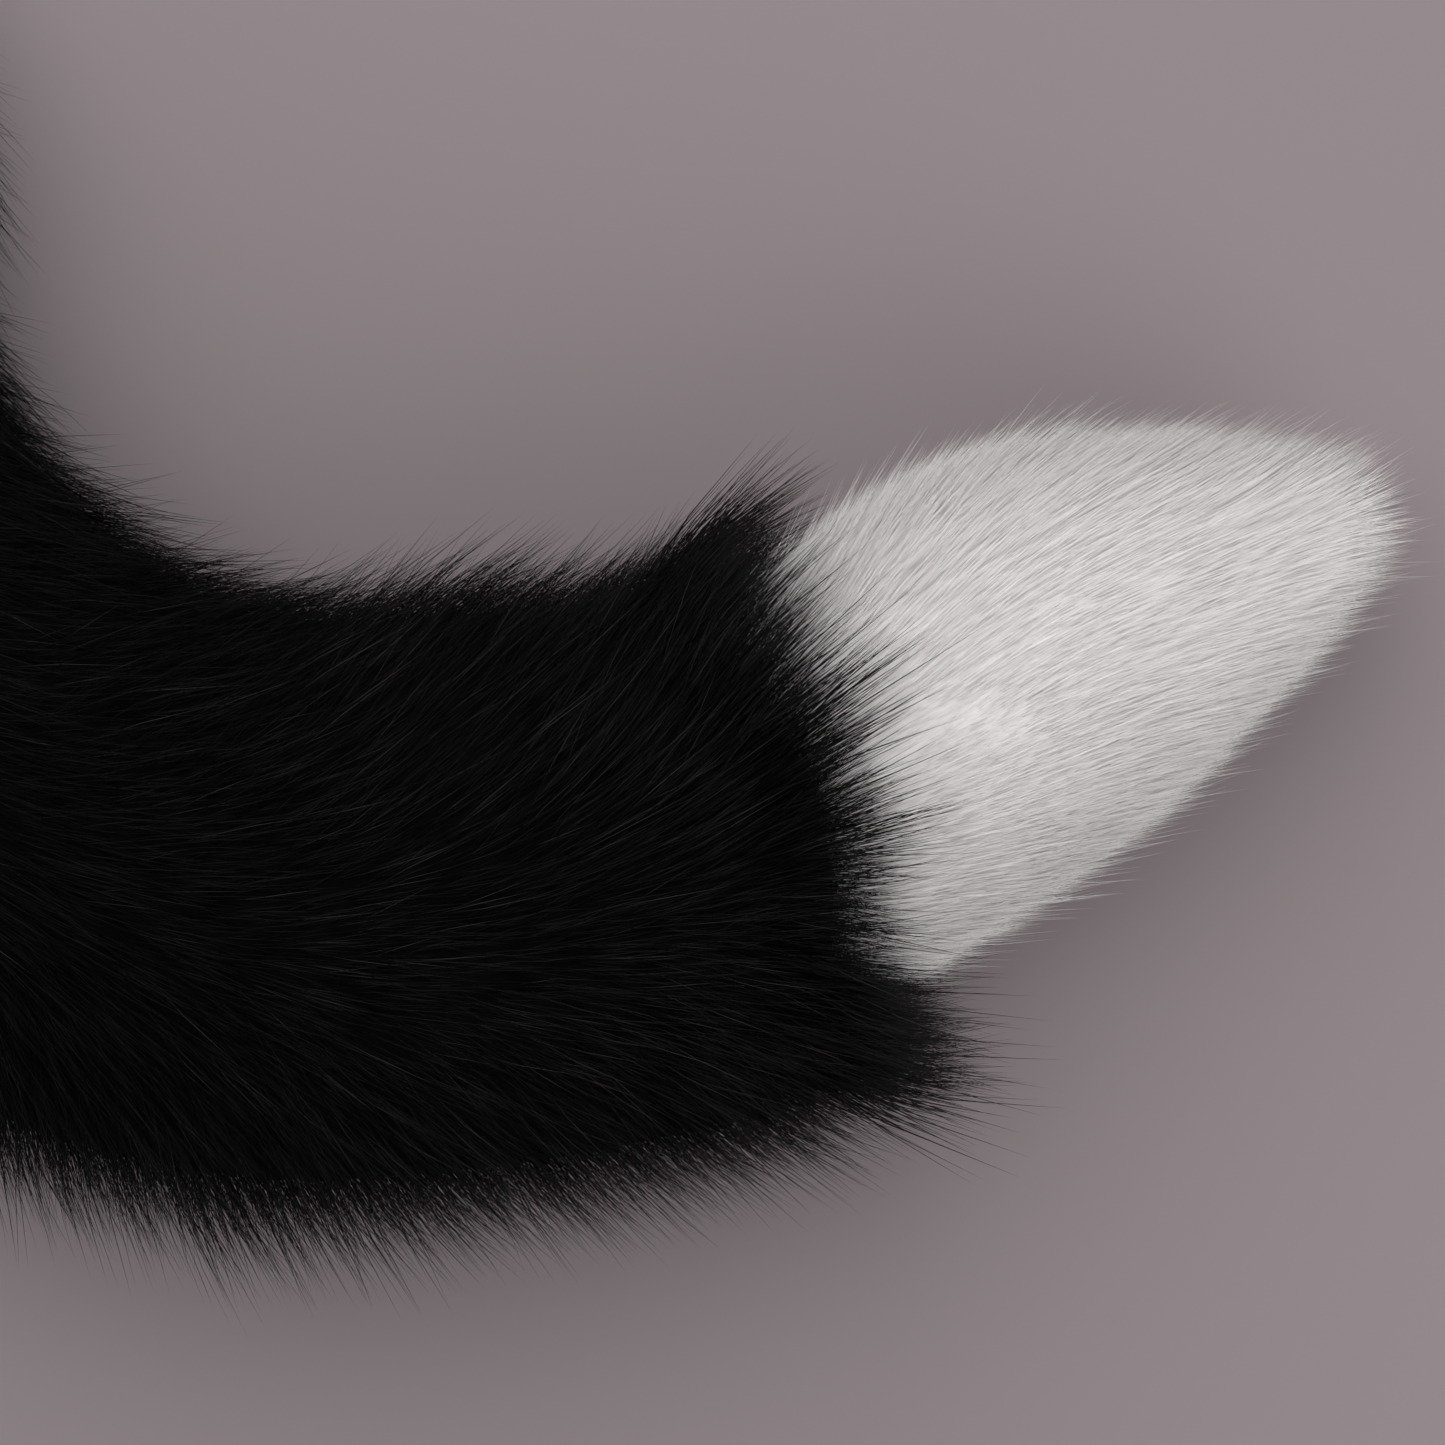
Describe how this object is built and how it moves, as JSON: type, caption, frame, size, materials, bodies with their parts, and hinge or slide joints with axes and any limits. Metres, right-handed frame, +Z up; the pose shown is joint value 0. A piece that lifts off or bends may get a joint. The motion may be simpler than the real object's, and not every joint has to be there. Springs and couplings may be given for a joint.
{
  "type": "costume animal tail",
  "caption": "Long-pile costume tail, lying: a stuffed black fur tube bent like a J, with ragged black locks over a white fur tip, a fabric disc on the base and a webbing loop for a belt.",
  "frame": {"origin": "middle of the part's box, on the surface that the tail lies on", "axes": "+Z up from the surface; +Y the way the base end and its belt loop point; +X the way the white tip points, which is also the longest extent"},
  "size_m": [0.3854, 0.334, 0.1021],
  "materials": {
    "black_fur": "deep black acrylic fur pile, matt with a faint sheen along the strands",
    "white_fur": "dense short white acrylic fur pile, velvety",
    "base_felt": "black felt, matt",
    "webbing": "black woven webbing, matt"
  },
  "bodies": {
    "root": {"black_fur": "black_fur", "white_tip": "white_fur", "base_cap": "base_felt", "belt_loop": "webbing"}
  },
  "joints": []
}
